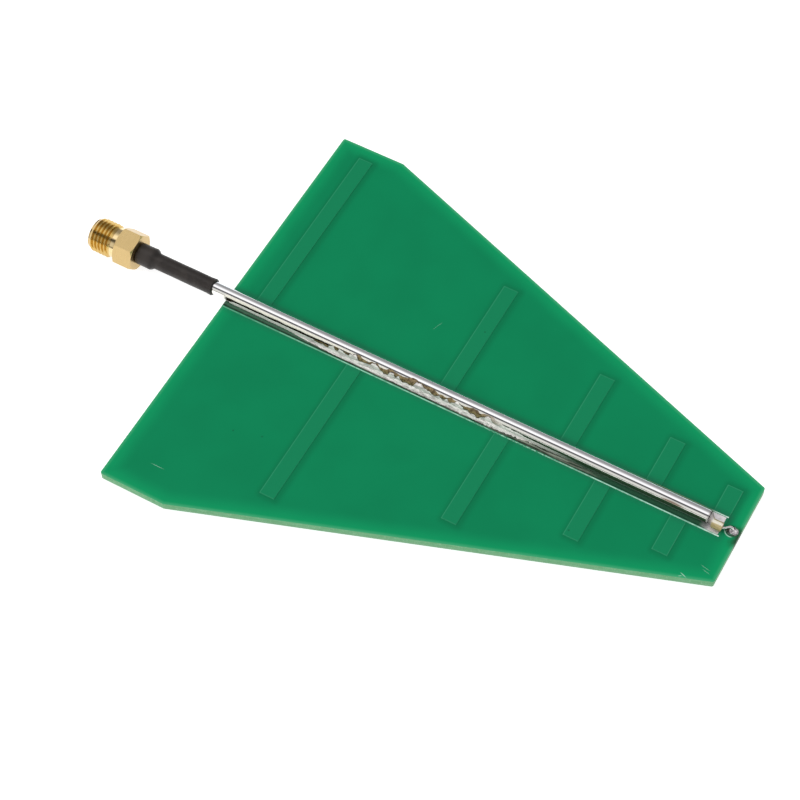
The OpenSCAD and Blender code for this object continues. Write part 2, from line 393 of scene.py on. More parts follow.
def makeDielectric(c):
    end = dielectricEnd
    radius = c.coreRadius
    hole = wireRadius + c.fit
    first = tubeEnd - c.ringsBack
    length = end - tubeEnd + c.ringsSpare
    stations = [(tubeStart, hole), (tubeStart, radius), (first, radius)]
    stations += [(first + length * i / c.coreRings, radius) for i in range(1, c.coreRings)]
    stations += [(end - c.edgeLong, radius), (end, radius - c.edgeDeep), (end, hole), (tubeStart, hole)]
    core = turnPiece("coaxDielectric", stations, c.coreSides)

    def whittle(point):  # knife flats and a slightly slanted cut
        away = math.hypot(point.y, point.z)
        if point.x < tubeEnd or away < wireRadius + c.skinFrom:
            return sag(c, point)
        knife = Vector((point.x * c.knifeAlong, point.y * c.knifeAcross, point.z * c.knifeAcross))
        cut = noise.noise(knife) * c.whittle
        grow = 1 + (cut - c.whittle * c.whittleShare) / away
        slant = -c.cutSlope * ease(end - c.cutLength, end, point.x) * (0.5 - 0.5 * point.z / away)
        return sag(c, Vector((point.x + slant, point.y * grow, point.z * grow)))

    moveVerts(core, whittle)
    return handOver(core, "coax_dielectric", c.coreSmooth)


def makeWire(c):
    start = cadLow("coax_wire").x
    bare = tubeEnd - c.wireBack
    bend = viaMiddle - c.bendRadius
    bpy.ops.mesh.primitive_circle_add(vertices=c.wireSides, radius=wireRadius * mm, fill_type="NGON",
                                      location=(start * mm, 0, 0), rotation=alongX)
    wire = takePiece("coaxWire")
    editAll(wire)
    extrude(bare - start, 0, 0)
    for _ in range(c.wireSteps):
        extrude((bend - bare) / c.wireSteps, 0, 0)
    bpy.ops.mesh.spin(steps=c.bendSteps, angle=math.pi / 2, center=(bend * mm, 0, -c.bendRadius * mm),
                      axis=(0, -1, 0))
    extrude(0, 0, c.wireFoot + c.bendRadius)
    leaveEdit()
    weldPoints(wire, weld)
    faceOutward(wire)
    moveVerts(wire, lambda point: sag(c, point))
    return handOver(wire, "coax_wire", c.coreSmooth)


coaxTube = makeTube(cable)
coaxDielectric = makeDielectric(cable)
coaxWire = makeWire(cable)
print("cable:", [len(piece.data.polygons) for piece in (coaxTube, coaxDielectric, coaxWire)], "faces")


# heat-shrink sleeve, drawn down over the barrel's step, with a loose cut end

sleeve = settings(
    sides=96, rings=50, wall=0.33, fit=0.01, inset=0.02, smoothAngle=50,
    frontEdge=0.12, ringsShort=0.2, rearEdge=0.1, flare=0.07, flareFrom=21.6,
    shoulderFrom=10.35, shoulderTo=11.15, bulge=0.04, bulgeLength=0.5,
    skin=(0.8, 0.3), crease=0.035, creases=5, creaseBack=0.3, creaseLength=0.7,
    creaseTurn=1.3, creaseTwist=0.8, ripple=0.025, rippleAlong=0.45, rippleRound=1.3,
    rag=0.16, ragLength=0.8, ragBack=0.3, ragSeed=7.3, ragRound=1.7,
)


def makeSleeve(s):
    start = cadLow("shrink_sleeve").x + s.inset
    end = cadHigh("shrink_sleeve").x
    overBarrel = cadHigh("shrink_sleeve").z
    overTube = tubeRadius + s.fit + s.wall

    def outer(x):
        drawn = ease(s.shoulderFrom, s.shoulderTo, x)
        bulge = s.bulge * hill(x, s.shoulderFrom, s.bulgeLength)
        flare = s.flare * ease(s.flareFrom, end, x)
        return overBarrel + (overTube - overBarrel) * drawn + bulge + flare

    length = end - start - s.ringsShort
    places = [start + s.frontEdge + length * i / s.rings for i in range(s.rings + 1)]
    skin = [(x, outer(x)) for x in places]
    skin = [(start, outer(start) - s.frontEdge)] + skin + [(end, outer(end) - s.rearEdge)]
    bore = tubeRadius + s.fit
    lining = [(x, max(outer(x) - s.wall, bore)) for x in reversed([start] + places + [end])]
    piece = turnPiece("shrinkSleeve", skin + lining + skin[:1], s.sides)

    def wrinkle(point):
        radius = math.hypot(point.y, point.z)
        around = math.atan2(point.y, point.z)
        ring = Vector((0, math.cos(around), math.sin(around)))
        outside = ease(*[outer(point.x) - s.wall * share for share in s.skin], radius)
        shoulder = hill(point.x, s.shoulderTo - s.creaseBack, s.creaseLength)
        turn = s.creases * around + s.creaseTurn + s.creaseTwist * point.x
        fold = s.crease * shoulder * math.sin(turn)
        swell = s.ripple * noise.noise(Vector((point.x * s.rippleAlong, 0, 0)) + ring * s.rippleRound)
        grow = 1 + outside * (fold + swell) / radius
        tear = s.rag * ease(end - s.ragLength, end, point.x)
        ragged = tear * (noise.noise(Vector((s.ragSeed, 0, 0)) + ring * s.ragRound) - s.ragBack)
        return (point.x + ragged, point.y * grow, point.z * grow)

    moveVerts(piece, wrinkle)
    return handOver(piece, "shrink_sleeve", s.smoothAngle)


shrinkSleeve = makeSleeve(sleeve)
print("sleeve:", len(shrinkSleeve.data.polygons), "faces")


# solder seam along the tube: thin clean fillet, then a lumpy stretch that climbs the tube
# foot is how far it spreads on the strip, climb is how far it turns up the tube

seam = settings(
    cuts=(21, 20), sides=48, faceSides=18, smoothAngle=55,
    wander=(0.35, 4.0, 2.2), flutter=(1.3, 7.0, 4.4), frayNoise=(2.3, 3.0, 8.8),  # rate and two seeds
    spotShiftNoise=(3.1, 5.2, 0.7), spotLengthNoise=(2.3, 1.1, 9.4),
    cleanFoot=0.86, cleanClimb=93, cleanFlutter=3,
    wideFrom=(34, 49), roughFrom=(41, 53), roughTo=(76, 89), roughFoot=1.5, roughClimb=120,
    footSway=(0.07, 0.05), climbSway=(10, 9), fullSway=(0.35, 0.25),  # by the wander and the flutter
    farFoot=1.3, farFootSway=0.1, farClimb=66, farClimbSway=6,
    spotFirst=44.6, spotStep=3.7, spotCount=10, spotShift=1.3, spotLength=1.15,
    spotStretch=0.5, spotClimb=22, swellAt=63, swellLength=5, swellClimb=16,
    tipFrom=(92, 100), tipFoot=0.8, tipClimb=40,
    startLength=2.0, endLength=2.5, endFoot=0.35, endClimb=0.3, hollowClimb=64,
    frayFrom=(66, 76), frayTo=(88, 96), fray=0.24, margin=0.02,
    hollow=(1.02, 0.06), steep=1.01, shoulder=(0.02, 0.42), crown=(-0.4, 0.82),
    footUp=0.012, footSink=0.005, lift=0.012, skin=0.03, skinAbove=-0.5,
    grit=0.07, gritAlong=1.1, gritAcross=2.2, gritOctaves=3, gritMiddle=0.4,
    hiddenDeep=0.06, hiddenHalf=0.2,
)


def stretch(rise, drop, x):  # 1 between two ramps along the boom
    return ease(*rise, x) * (1 - ease(*drop, x))


def drift(pattern, x, side=1):  # noise along the boom
    rate, seedY, seedZ = pattern
    return noise.noise(Vector((x * rate, side * seedY, seedZ)))


def fluxSpots(s, x):  # how strongly a patch of flux sits at this place, 0 to 1
    best = 0.0
    for k in range(s.spotCount):
        middle = s.spotFirst + s.spotStep * k + s.spotShift * drift(s.spotShiftNoise, k)
        length = s.spotLength * (1 + s.spotStretch * drift(s.spotLengthNoise, k))
        best = max(best, math.exp(-((x - middle) / length) ** 4))
    return best


def nearSpread(s, x, wander, flutter, rough):  # foot and climb on the side that was soldered
    wide = stretch(s.wideFrom, s.roughTo, x)
    foot = s.cleanFoot + (s.roughFoot - s.cleanFoot) * wide
    foot += s.footSway[0] * wander + s.footSway[1] * flutter * wide
    climb = s.cleanClimb + (s.roughClimb - s.cleanClimb) * rough
    sway = s.climbSway[0] * wander + s.climbSway[1] * flutter
    climb += (s.spotClimb * fluxSpots(s, x) + sway) * rough + s.cleanFlutter * flutter
    climb += s.swellClimb * hill(x, s.swellAt, s.swellLength)
    return foot, climb


def seamSection(s, x, side):  # foot on the strip, two points that bend the face, touch on the tube
    wander = drift(s.wander, x, side)
    flutter = drift(s.flutter, x, side)
    if side < 0:
        rough = stretch(s.roughFrom, s.roughTo, x)
        foot, climb = nearSpread(s, x, wander, flutter, rough)
    else:
        rough = 0.0
        foot = s.farFoot + s.farFootSway * wander
        climb = s.farClimb + s.farClimbSway * wander
    tip = ease(*s.tipFrom, x)
    foot += (s.tipFoot - foot) * tip
    climb += (s.tipClimb - climb) * tip
    fade = stretch((boardStart, boardStart + s.startLength), (tubeEnd - s.endLength, tubeEnd), x)
    foot *= s.endFoot + (1 - s.endFoot) * fade
    climb *= s.endClimb + (1 - s.endClimb) * fade
    if side < 0:
        foot += s.fray * stretch(s.frayFrom, s.frayTo, x) * drift(s.frayNoise, x)
    foot = min(foot, stripHalf - s.margin)
    angle = math.radians(climb)
    touch = (tubeRadius * math.sin(angle), -tubeRadius * math.cos(angle))
    low = math.radians(min(climb, s.hollowClimb))
    hollow = (tubeRadius * math.sin(low) * s.hollow[0], stripTop + s.hollow[1])
    steep = (touch[0] * s.steep, (touch[1] + stripTop) / 2)
    shoulder = (foot + s.shoulder[0], stripTop + s.shoulder[1])
    crown = (foot + s.crown[0], stripTop + s.crown[1])
    full = rough * (1 + s.fullSway[0] * wander + s.fullSway[1] * flutter)
    first = [p + (q - p) * full for p, q in zip(hollow, shoulder)]
    second = [p + (q - p) * full for p, q in zip(steep, crown)]
    return (foot, stripTop + s.footUp), first, second, touch


def beadPoint(s, x, side, t, corners):  # t runs from the foot to the touch
    weights = ((1 - t) ** 3, 3 * t * (1 - t) ** 2, 3 * t * t * (1 - t), t ** 3)
    y, z = [sum(w * corner[axis] for w, corner in zip(weights, corners)) for axis in (0, 1)]
    middle = math.sin(math.pi * t)
    if side < 0:
        spot = Vector((x * s.gritAlong, y * s.gritAcross, z * s.gritAcross))
        lumps = noise.turbulence(spot, s.gritOctaves, False) - s.gritMiddle
        grit = s.grit * stretch(s.roughFrom, s.roughTo, x) * middle * lumps
        y += grit
        z += grit
    away = math.hypot(y, z)
    least = tubeRadius + s.lift + s.skin * middle if z > s.skinAbove else away
    grow = max(1, least / away)
    return (x, side * y * grow, z * grow)


def makeSeam(s):
    start = cadLow("seam_solder").x
    end = cadHigh("seam_solder").x
    bpy.ops.mesh.primitive_cylinder_add(vertices=s.sides, radius=mm, depth=(end - start) * mm,
                                        rotation=alongX)
    piece = takePiece("seamSolder")
    bpy.ops.object.mode_set(mode="EDIT")
    bpy.ops.mesh.select_mode(type="EDGE")
    for cuts in s.cuts:  # one pass makes a hundred cuts at most
        bpy.ops.mesh.select_all(action="DESELECT")
        drawn = bmesh.from_edit_mesh(piece.data)
        for edge in drawn.edges:
            ends = [vert.co.x for vert in edge.verts]
            edge.select = max(ends) - min(ends) > mm
        bmesh.update_edit_mesh(piece.data)
        bpy.ops.mesh.subdivide(number_cuts=cuts)
    leaveEdit()
    middle = s.sides // 2
    flat = middle - s.faceSides - 2  # steps under the bead, on the strip

    def place(point):
        x = point.x + (start + end) / 2
        turn = round(math.atan2(point.y, -point.z) / (2 * math.pi) * s.sides)  # 0 is straight down
        side = 1 if turn > 0 else -1
        step = abs(turn)
        corners = seamSection(s, x, side)
        if step <= flat:
            return (x, side * corners[0][0] * step / (flat + 1), stripTop - s.footSink)
        if step <= flat + 1 + s.faceSides:
            return beadPoint(s, x, side, (step - flat - 1) / s.faceSides, corners)
        hidden = 0 if step == middle else side * s.hiddenHalf
        return (x, hidden, s.hiddenDeep - tubeRadius)  # back under the tube's skin

    moveVerts(piece, place)
    faceOutward(piece)
    return handOver(piece, "seam_solder", s.smoothAngle)


seamSolder = makeSeam(seam)
print("seam:", len(seamSolder.data.polygons), "faces")


# feed solder: a blob drawn up the wire, its neck in the plated hole and a bump under the board

feed = settings(
    sides=72, rings=14, pole=0.02, seat=0.005, smoothAngle=50,
    long=1.2, longFrom=0.02, blobRadius=0.83, blobTop=0.62, neck=0.42,
    backRadius=0.8, backLow=-3.36,
    drawTo=-0.42, drawUp=0.32, drawFrom=0.05, drawLong=0.4, drawWide=0.35, drawLean=0.25,
    lump=0.1, lumpRate=2.4, lumpSeed=3.7,
)


def makeFeed(f):
    backTop = copperBottom - f.seat
    blobLow = copperTop + f.seat

    def dome(base, rise, radius):  # from its foot to its pole
        turns = [math.pi / 2 * i / f.rings for i in range(f.rings + 1)]
        return [(base + rise * math.sin(turn), f.pole + (radius - f.pole) * math.cos(turn)) for turn in turns]

    stations = dome(backTop, f.backLow - backTop, f.backRadius)[::-1]
    stations += [(backTop, f.neck), (blobLow, f.neck)] + dome(blobLow, f.blobTop, f.blobRadius)
    piece = turnPiece("feedSolder", stations, f.sides, solid=True)
    piece.rotation_euler.y = -math.pi / 2
    piece.location.x = viaMiddle * mm
    applyPlace(piece)

    def pull(point):
        rise = ease(copperTop + f.drawFrom, copperTop + f.blobTop, point.z)
        above = ease(copperTop - f.longFrom, copperTop, point.z)
        x, y = (point.x - viaMiddle) * (1 + (f.long - 1) * above), point.y
        spot = Vector((x, y, point.z)) * f.lumpRate + Vector((0, 0, f.lumpSeed))
        lump = f.lump * rise * noise.noise(spot)
        drawn = f.drawUp * rise * hill(x, f.drawTo, f.drawLong) * hill(y, 0, f.drawWide)
        lean = f.drawTo * f.drawLean * rise
        return (viaMiddle + x * (1 + lump) + lean, y * (1 + lump), point.z + lump + drawn)

    moveVerts(piece, pull)
    return handOver(piece, "feed_solder", f.smoothAngle)


feedSolder = makeFeed(feed)
print("feed solder:", len(feedSolder.data.polygons), "faces")


# shader helpers: a value is a number, a colour or another node's socket

def newMaterial(name):
    material = bpy.data.materials.new(name)
    material.use_nodes = True
    tree = material.node_tree
    return material, tree, tree.nodes["Principled BSDF"]


def treeOf(values):
    return next(value.id_data for value in values if isinstance(value, bpy.types.NodeSocket))


def plug(socket, value):
    if isinstance(value, bpy.types.NodeSocket):
        socket.id_data.links.new(value, socket)
    elif socket.type == "RGBA":
        socket.default_value = (*value, 1)
    else:
        socket.default_value = value


def plugAll(node, values):
    for label, value in values.items():
        plug(node.inputs[label], value)


def calc(operation, first, *others):  # joins the values two at a time
    for other in others or [0.0]:
        node = treeOf((first, other)).nodes.new("ShaderNodeMath")
        node.operation = operation
        plugAll(node, {0: first, 1: other})
        first = node.outputs[0]
    return first


plus = partial(calc, "ADD")
minus = partial(calc, "SUBTRACT")
times = partial(calc, "MULTIPLY")
divide = partial(calc, "DIVIDE")
nearest = partial(calc, "MINIMUM")
greatest = partial(calc, "MAXIMUM")
below = partial(calc, "LESS_THAN")
size = partial(calc, "ABSOLUTE")


def span(value, low, high, toLow=0.0, toHigh=1.0):  # eased from one range to another
    node = value.id_data.nodes.new("ShaderNodeMapRange")
    node.interpolation_type = "SMOOTHSTEP"
    plugAll(node, dict(enumerate((value, low, high, toLow, toHigh))))
    return node.outputs[0]


def fall(value, low, high, share=1.0):
    return span(value, low, high, share, 0.0)


def between(value, rise, drop):
    return times(span(value, *rise), fall(value, *drop))


def shifted(pair, origin):
    return [origin + gap for gap in pair]


def tint(share, low, high):
    node = share.id_data.nodes.new("ShaderNodeMix")
    node.data_type = "RGBA"
    plugAll(node, {0: share, 6: low, 7: high})  # factor and the two colours
    return node.outputs[2]


def paint(colour, *layers):  # lays each (share, tone) over what is there
    for share, tone in layers:
        colour = tint(share, colour, tone)
    return colour


def millimetres(tree, stretch=(1, 1, 1)):  # Object coordinates
    place = tree.nodes.new("ShaderNodeTexCoord")
    mapping = tree.nodes.new("ShaderNodeMapping")
    plugAll(mapping, {"Vector": place.outputs["Object"], "Scale": [perMetre * share for share in stretch]})
    return mapping.outputs[0]


def axes(place):
    node = place.id_data.nodes.new("ShaderNodeSeparateXYZ")
    plug(node.inputs[0], place)
    return node.outputs


def cloud(place, scale, detail=3.0, rough=0.55):
    node = place.id_data.nodes.new("ShaderNodeTexNoise")
    plugAll(node, dict(Vector=place, Scale=scale, Detail=detail, Roughness=rough))
    return node.outputs[0]


def ragged(place, scale, detail, width):  # noise about zero
    return times(minus(cloud(place, scale, detail), 0.5), width)


def streaked(place, stretch, *pattern):  # noise drawn out along some axes
    return cloud(millimetres(place.id_data, stretch), *pattern)


def newGroup(name, inputs, outputs):  # "place" is a vector, all other sockets are numbers
    group = bpy.data.node_groups.new(name, "ShaderNodeTree")
    for way, labels in (("INPUT", inputs), ("OUTPUT", outputs)):
        for label in labels.split():
            kind = "NodeSocketVector" if label == "place" else "NodeSocketFloat"
            group.interface.new_socket(label, in_out=way, socket_type=kind)
    entry = group.nodes.new("NodeGroupInput")
    leave = group.nodes.new("NodeGroupOutput")
    return group, entry.outputs[:-1], leave.inputs  # the last output is an empty one


def useGroup(group, *values):
    node = treeOf(values).nodes.new("ShaderNodeGroup")
    node.node_tree = group
    plugAll(node, dict(enumerate(values)))
    return node.outputs


def boxGap(x, y, centre, half):
    return useGroup(boxDistance, x, y, *centre, *half)[0]


def stroke(x, y, centre, degrees, half):
    turn = math.radians(degrees)
    return useGroup(scuff, x, y, *centre, math.cos(turn), math.sin(turn), *half)[0]


def mottled(pattern, colours):  # from one colour to the other by a noise
    return tint(span(pattern, *midNoise), *colours)


midNoise = (0.35, 0.65)  # most of a noise lies between these
wideNoise = (0.3, 0.7)
grainNoise = settings(detail=3.0, rough=0.5, shares=(0.6, 0.4))  # shares of the coarse and the fine cloud
# where the feed joint's burnt flux and painted shade lie
stainAndShade = settings(y=-0.75, half=(0.3, 1.3), rag=(1.1, 3, 1.2), fade=(-0.4, 1.3, 0.85))
scuffFade = (0.4, 1.0, 0.8)


def boxDistanceGroup():  # signed distance from an upright rectangle, negative inside
    group, given, out = newGroup("boxDistance", "x y centreX centreY halfX halfY", "distance")
    x, y, centreX, centreY, halfX, halfY = given
    aside = minus(size(minus(x, centreX)), halfX)
    along = minus(size(minus(y, centreY)), halfY)
    outX = greatest(aside, 0.0)
    outY = greatest(along, 0.0)
    outside = calc("SQRT", plus(times(outX, outX), times(outY, outY)))
    plug(out[0], plus(outside, nearest(greatest(aside, along), 0.0)))
    return group


def scuffGroup():  # a short stroke that fades at its ends
    labels = "x y centreX centreY cosine sine halfLength halfWidth"
    group, given, out = newGroup("scuff", labels, "share")
    x, y, centreX, centreY, cosine, sine, halfLength, halfWidth = given
    x = minus(x, centreX)
    y = minus(y, centreY)
    ends = divide(plus(times(x, cosine), times(y, sine)), halfLength)
    sides = divide(minus(times(y, cosine), times(x, sine)), halfWidth)
    reach = calc("SQRT", plus(times(ends, ends), times(sides, sides)))
    plug(out[0], fall(reach, *scuffFade))
    return group


def feedStainAndShadeGroup():  # burnt flux and painted shade round the feed joint, drawn out to the board's end
    group, (place,), out = newGroup("feedStainAndShade", "place", "share")
    x, y, _ = axes(place)
    gap = boxGap(x, y, (boardEnd, stainAndShade.y), stainAndShade.half)
    plug(out[0], fall(plus(gap, ragged(place, *stainAndShade.rag)), *stainAndShade.fade))
    return group


def grainGroup():  # two sizes of cloud for roughness and for height
    group, given, out = newGroup("grain", "place coarse fine dull bright", "roughness height")
    place, coarse, fine, dull, bright = given
    clouds = [times(cloud(place, scale, grainNoise.detail, grainNoise.rough), share)
              for scale, share in zip((coarse, fine), grainNoise.shares)]
    mixed = plus(*clouds)
    plug(out[0], span(mixed, *wideNoise, bright, dull))
    plug(out[1], mixed)
    return group


boxDistance = boxDistanceGroup()
scuff = scuffGroup()
feedStainAndShade = feedStainAndShadeGroup()
grain = grainGroup()


# a look's grain is its coarse and fine scale, then dull and bright roughness; its bump is strength and depth

def startMaterial(name, look):
    material, tree, _ = newMaterial(name)
    place = millimetres(tree)
    rubbed = millimetres(tree, look.stretch) if "stretch" in look else place
    return material, place, useGroup(grain, rubbed, *look.grain)


def finishMaterial(material, look, finish, colour, others=None):
    tree = material.node_tree
    strength, depth = look.bump
    relief = tree.nodes.new("ShaderNodeBump")
    plugAll(relief, dict(Strength=strength, Distance=depth * mm, Height=finish["height"]))
    plain = {"Base Color": colour, "Roughness": finish["roughness"], "Metallic": look.get("metal", 0.0),
             "Specular IOR Level": look.get("gloss", 0.5), "Normal": relief.outputs[0]}
    plugAll(tree.nodes["Principled BSDF"], {**plain, **(others or {})})
    return material


# solder mask over the laminate, raised and greyer over the copper comb

maskLook = settings(
    field=(0.0028, 0.202, 0.08), mottle=(0.965, 1.035), mottleNoise=(0.09, 2),
    # the rim is painted edge light, a lighter band along the board's outline
    rim=(0.004, 0.275, 0.103), rimFade=(0.0, 3.4), rimRag=(0.16, 1, 0.8),
    # the dark band beside each arm is painted shade, cast towards +x
    halo=(0.003, 0.135, 0.054), haloFade=(0.0, 1.4, 0.6), haloShift=0.25,
    overCopper=(0.0068, 0.201, 0.085), overFade=(-0.02, 0.06),
    # the edge colour is a painted highlight along the arms' edges and tips
    edge=(0.06, 0.36, 0.2), edgeFade=(0.0, 0.13, 0.45),
    litFlank=(-0.2, 0.1, 0.2, 1.0), litTip=(106, 116, 0.0, 0.9),
    cutRim=(0.06, 0.36, 0.17), cutRimFade=(0.0, 0.7, 0.75),
    grain=(0.5, 6.0, 0.46, 0.36), bump=(0.12, 0.02), gloss=0.06,
)

windowLook = settings(  # what lies about the opening over the boom, on the upper face
    shade=(0.014, 0.12, 0.066), shadeFade=(0.0, 1.3), shadeAcross=(-0.5, 0.5, 0.3, 0.55),
    lapWidth=0.34, lapCrest=0.55, lapFade=(0.15, 0.5), lapAlong=(28, 52, 0.4, 1.0),
    wornNoise=((1, 0.2, 0.2), 0.8, 3), worn=(0.35, 0.6, 0.55, 1.0),
    chipNoise=((1, 2.5, 2.5), 1.7, 5, 0.7), chips=(0.46, 0.56, 0.0, 0.9),
    chipFrom=(70, 76), chipTo=(90, 97),
    # the lap colours are a painted highlight on the mask's near edge beside the strip, painted shade on its
    # far edge turning tan near the tip, and a brighter painted highlight at the tube's end
    lap=((0.26, 0.55, 0.4), (0.42, 0.68, 0.56)), lapAlters=(56, 108),
    farLap=((0.02, 0.2, 0.1), (0.2, 0.2, 0.14)), farAlters=(100, 110),
    endLap=(0.66, 0.86, 0.77), endFrom=(-1, 0.3),
    padAt=(-0.15, -0.05), padEdge=1.12, padShade=(0.004, 0.035, 0.017), padFade=(-0.25, 0.15),
    padShare=0.8, lipFade=(0.03, 0.13, 0.85), lipAcross=(-0.7, -0.2), lipAlong=(0, 0.5),
    burnt=(0.012, 0.03, 0.012), scratch=(0.42, 0.66, 0.55), speck=(0.006, 0.1, 0.045),
    scratches=((118.6, -11.2, -20, 0.8, 0.09), (118.2, -11.6, 35, 0.4, 0.07), (121.2, -8.3, -12, 1.1, 0.03),
               (121.6, -8.9, -12, 0.9, 0.03), (33.2, -35.0, 0, 1.6, 0.04), (60.5, 12.4, 70, 1.4, 0.02)),
    specks=((40.6, -22.9), (45.5, -21.6), (68.3, 15.2), (98.7, -12.8)), speckHalf=(0.22, 0.22),
)


def outlineGap(x, y):  # distance inside the board's outline
    normal, reach = slantLine()
    aside = size(y)
    slant = plus(times(x, normal.x), times(aside, normal.y))
    sides = minus(cadHigh("board_core").y, aside)
    return nearest(minus(x, boardStart), minus(boardEnd, x), sides, minus(reach, slant))


def lapLightAndShadeShare(w, place, x, y, boom):  # painted highlight and shade on the mask's edge beside the strip, worn and chipped
    width = w.lapWidth
    crest = size(minus(minus(size(y), stripHalf), width * w.lapCrest))
    lap = times(fall(crest, *[width * share for share in w.lapFade]), below(boom, 0.0))
    worn = span(streaked(place, *w.wornNoise), *w.worn)
    chips = span(streaked(place, *w.chipNoise), *w.chips)
    chipped = times(chips, between(x, w.chipFrom, w.chipTo))
    return times(lap, worn, span(x, *w.lapAlong), minus(1.0, chipped))


# painted highlight on the near edge, painted shade on the far edge
def lapLightAndShade(w, x, y):
    near = tint(span(x, *w.lapAlters), *w.lap)
    far = tint(span(x, *w.farAlters), *w.farLap)
    return paint(far, (below(y, 0.0), near), (span(x, *shifted(w.endFrom, tubeEnd)), w.endLap))


def windowColour(w, place, boom, colour):
    x, y, _ = axes(place)
    shaded = times(fall(boom, *w.shadeFade), span(y, *w.shadeAcross))
    padGap = boxGap(x, y, (viaMiddle + w.padAt[0], w.padAt[1]), (0.0, 0.0))
    pad = fall(padGap, *shifted(w.padFade, w.padEdge), w.padShare)
    lip = fall(size(minus(padGap, w.padEdge)), *w.lipFade)  # painted highlight on the near edge of the pad's opening
    lip = times(lip, fall(y, *w.lipAcross), fall(x, *shifted(w.lipAlong, viaMiddle)))
    # painted shade beside the boom and round the pad, painted highlights on the lap and the pad's lip, burnt
    # flux with painted shade at the feed
    layers = [(shaded, w.shade), (lapLightAndShadeShare(w, place, x, y, boom), lapLightAndShade(w, x, y)),
              (pad, w.padShade), (lip, w.lap[1]), (useGroup(feedStainAndShade, place)[0], w.burnt)]
    for centreX, centreY, degrees, *half in w.scratches:
        layers.append((stroke(x, y, (centreX, centreY), degrees, half), w.scratch))
    for centre in w.specks:
        layers.append((stroke(x, y, centre, 0, w.speckHalf), w.speck))
    return paint(colour, *layers)


def maskMaterial(name, copper):
    m = maskLook
    material, place, finish = startMaterial(name, m)
    x, y, _ = axes(place)
    end = cadHigh(copper).x
    boom = boxGap(x, y, ((boardStart + end) / 2, 0.0), ((end - boardStart) / 2, boomHalf))
    arms = []
    shades = []
    for low, high, tip in armBoxes(copper):
        middle = (low + high) / 2
        half = ((high - low) / 2, abs(tip) / 2)
        arms.append(boxGap(x, y, (middle, tip / 2), half))
        shades.append(boxGap(x, y, (middle + m.haloShift, tip / 2), half))
    comb = nearest(boom, *arms)
    shade = nearest(*shades)
    outline = outlineGap(x, y)
    darker, lighter = [[share * channel for channel in m.field] for share in m.mottle]
    lit = greatest(span(minus(shade, comb), *m.litFlank), span(x, *m.litTip))  # painted highlight on the arms' edges, weak on the far flank
    colour = paint(
        tint(span(cloud(place, *m.mottleNoise), *wideNoise), darker, lighter),
        # painted edge light along the board's outline
        (fall(plus(outline, ragged(place, *m.rimRag)), *m.rimFade), m.rim),
        # painted shade beside the arms, then the greyer mask over the copper
        (fall(shade, *m.haloFade), m.halo), (fall(comb, *m.overFade), m.overCopper),
        # painted highlight on the arms' edges, then a lighter line along the cut edge
        (times(fall(size(comb), *m.edgeFade), lit), m.edge), (fall(outline, *m.cutRimFade), m.cutRim))
    if copper == "top_copper":
        colour = windowColour(windowLook, place, boom, colour)
    return finishMaterial(material, m, finish, colour)


# laminate, seen at the board's sawn sides

laminateLook = settings(
    resin=((0.095, 0.31, 0.13), (0.14, 0.38, 0.19)), streaks=((0.35, 0.35, 6), 1.0, 4),
    fibre=(0.25, 0.46, 0.28), fibreNoise=((5, 5, 1.5), 1.0, 2), fibres=(0.5, 0.75, 0.0, 0.6),
    low=(0.19, 0.32, 0.2), lowFade=(0, 0.9), lowShare=0.6, burnt=(0.03, 0.025, 0.015),
    grain=(1.5, 9.0, 0.75, 0.5), bump=(0.4, 0.05), gloss=0.3,
)


def laminateMaterial():
    b = laminateLook
    material, place, finish = startMaterial("sawnLaminate", b)
    z = axes(place)[2]
    fibres = span(streaked(place, *b.fibreNoise), *b.fibres)
    low = fall(z, *shifted(b.lowFade, cadLow("board_core").z), b.lowShare)
    # the feed stain darkens the sawn end with burnt flux and painted shade
    colour = paint(
        mottled(streaked(place, *b.streaks), b.resin),
        (fibres, b.fibre), (low, b.low), (useGroup(feedStainAndShade, place)[0], b.burnt))
    return finishMaterial(material, b, finish, colour)


# plain metals and plastics

metalLooks = {
    "etchedCopper": settings(
        colours=((0.5, 0.25, 0.13), (0.68, 0.36, 0.2)), grain=(0.6, 5.0, 0.5, 0.35), bump=(1.0, 0.01)),
    "platedHole": settings(
        colours=((0.6, 0.58, 0.54), (0.74, 0.72, 0.68)), grain=(0.5, 2.5, 0.2, 0.1), bump=(1.0, 0.02)),
    "silveredWire": settings(
        colours=((0.6, 0.58, 0.58), (0.78, 0.76, 0.76)), grain=(1.5, 6.0, 0.3, 0.18), bump=(1.0, 0.02)),
    "dullSolder": settings(
        colours=((0.012, 0.01, 0.012), (0.72, 0.68, 0.7)), grain=(0.9, 2.4, 0.26, 0.1), bump=(1.0, 0.1)),
}

sleeveLook = settings(
    black=((0.02, 0.0165, 0.015), (0.034, 0.028, 0.025)), scale=0.35,
    grain=(0.9, 8.0, 0.52, 0.38), bump=(0.35, 0.03), gloss=0.3,
)

plasticLook = settings(
    white=((0.72, 0.71, 0.67), (0.82, 0.81, 0.78)), tanned=((0.3, 0.235, 0.105), (0.44, 0.36, 0.18)),
    # the crown is a painted highlight along the top
    crown=(0.8, 0.77, 0.68), crownFrom=(0.43, 0.53, 0.0, 0.85),
    # the scorch darkens the dielectric next to the tube's end, partly scorched and partly the tube's painted
    # shade
    scorch=(0.3, 0.27, 0.27), scorchFade=(0.3, 0.7), tubeHeat=0.9,
    grain=(1.2, 6.0, 0.6, 0.42), bump=(0.3, 0.03), glowShare=0.15, glowDepths=(0.6, 0.5, 0.4),
)


def metalMaterial(name):
    look = metalLooks[name]
    material, _, finish = startMaterial(name, look)
    colour = mottled(finish["height"], look.colours)
    return finishMaterial(material, look, finish, colour, {"Metallic": 1.0})


